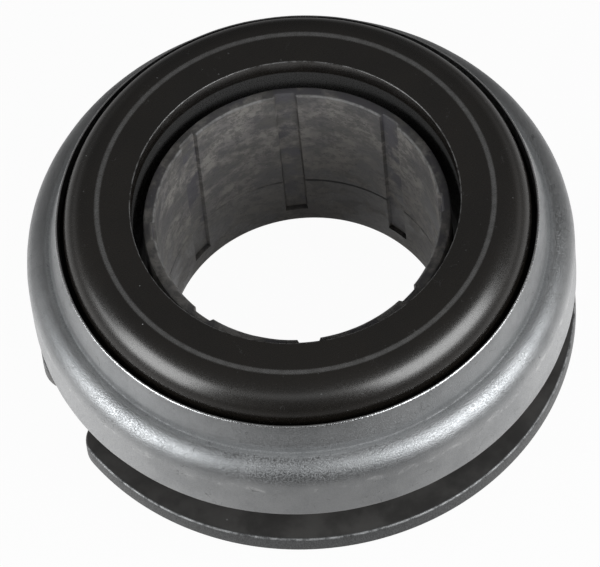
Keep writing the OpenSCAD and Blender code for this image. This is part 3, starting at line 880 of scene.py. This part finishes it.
FLOOR_HALF = 3.0
FLOOR_TONE = 0.86
WHITE_SHARE = 0.965
NEAR_SHEET = 50.0
FAR_SHEET = 82.0
ROOM_SHARE = 0.45
ROOM_NEAR = 95.0
ROOM_FAR = 170.0
DARK_SHARE = 0.3
FRONT_GLOW = 0.32
SIDE_GLOW = 0.95

floor_mesh = bpy.data.meshes.new("floor")
floor_mesh.from_pydata(
    [(-FLOOR_HALF, -FLOOR_HALF, 0), (FLOOR_HALF, -FLOOR_HALF, 0), (FLOOR_HALF, FLOOR_HALF, 0),
     (-FLOOR_HALF, FLOOR_HALF, 0)], [], [(0, 1, 2, 3)])
floor = bpy.data.objects.new("floor", floor_mesh)
bpy.context.scene.collection.objects.link(floor)
floor_material = bpy.data.materials.new("pale_sheet")
floor_material.use_nodes = True
tree = floor_material.node_tree
tree.nodes.clear()
rays = add(tree, "ShaderNodeLightPath").outputs
place = use(tree, round_place)
# Painted light on the sheet, seen only in reflections: a pool brightest near the part and towards the sides
# where the soft boxes stand.
sideways = vector_node(tree, "DOT_PRODUCT", place["Outward"], right)
side_share = math_node(tree, "MULTIPLY", sideways, sideways)
painted_side_light = math_node(tree, "MULTIPLY_ADD", side_share, SIDE_GLOW - FRONT_GLOW, FRONT_GLOW)
painted_light_pool = math_node(
    tree, "MULTIPLY", painted_side_light, span(tree, place["Radius"], NEAR_SHEET, FAR_SHEET, 1.0, ROOM_SHARE))
painted_light_pool = math_node(
    tree, "MULTIPLY", painted_light_pool, span(tree, place["Radius"], ROOM_NEAR, ROOM_FAR, 1.0, DARK_SHARE))
glow = math_node(tree, "MAXIMUM", rays["Is Camera Ray"], painted_light_pool)
sheet = add(tree, "ShaderNodeBsdfDiffuse", {"Color": grey(FLOOR_TONE)}).outputs[0]
white = add(tree, "ShaderNodeEmission", {"Color": grey(1.0), "Strength": glow}).outputs[0]
mirrored_rays = math_node(tree, "MAXIMUM", rays["Is Glossy Ray"], rays["Is Transmission Ray"])
seen_white = math_node(tree, "MULTIPLY", rays["Is Camera Ray"], WHITE_SHARE)
seen = math_node(tree, "MAXIMUM", seen_white, mirrored_rays)
shown = add(tree, "ShaderNodeMixShader", {0: seen, 1: sheet, 2: white}).outputs[0]
add(tree, "ShaderNodeOutputMaterial", {"Surface": shown})
floor_mesh.materials.append(floor_material)

HORIZON = 0.06
ZENITH = 0.1
SKY_TOP = 0.85
WALL = 0.38
WALL_TOP = 0.35

world = bpy.data.worlds.new("room")
bpy.context.scene.world = world
world.use_nodes = True
tree = world.node_tree
room = tree.nodes["Background"]
room.inputs["Color"].default_value = grey(1.0)
outlook = add(tree, "ShaderNodeTexCoord").outputs["Generated"]
sky = add(tree, "ShaderNodeSeparateXYZ", {0: outlook}).outputs[2]
sideways = vector_node(tree, "DOT_PRODUCT", outlook, right)
wall = math_node(tree, "MULTIPLY", math_node(tree, "MULTIPLY", sideways, sideways),
                 span(tree, sky, 0.0, WALL_TOP, WALL, 0.0))
room_glow = math_node(tree, "ADD", span(tree, sky, 0.0, SKY_TOP, HORIZON, ZENITH), wall)
tree.links.new(room_glow, room.inputs["Strength"])

LAMP_COLOUR = (0.95, 0.98, 1.0)
LAMP_AIM = Vector((0, 0, 20 * MM))


def soft_box(name, azimuth, elevation, far, size, watts):
    """Area lamp that looks at the part, its azimuth counted from the camera's right towards the back."""
    lamp = bpy.data.lights.new(name, "AREA")
    lamp.shape = "RECTANGLE"
    lamp.size, lamp.size_y = size
    lamp.energy = watts
    lamp.color = LAMP_COLOUR
    box = bpy.data.objects.new(name, lamp)
    bpy.context.scene.collection.objects.link(box)
    swing, rise = math.radians(azimuth), math.radians(elevation)
    level = right * math.cos(swing) + away * math.sin(swing)
    ray = level * math.cos(rise) + Vector((0, 0, math.sin(rise)))
    box.location = LAMP_AIM + ray * far
    box.rotation_euler = ray.to_track_quat("Z", "Y").to_euler()


soft_box("right_box", 323, 29, 0.40, (0.36, 0.23), 0.9)
soft_box("left_box", 206, 21, 0.40, (0.25, 0.24), 0.62)
soft_box("front_box", 265, 40, 0.50, (0.42, 0.14), 0.06)
soft_box("left_strip", 180, 13, 0.45, (0.13, 0.07), 0.05)

bpy.context.scene.view_settings.view_transform = "Standard"
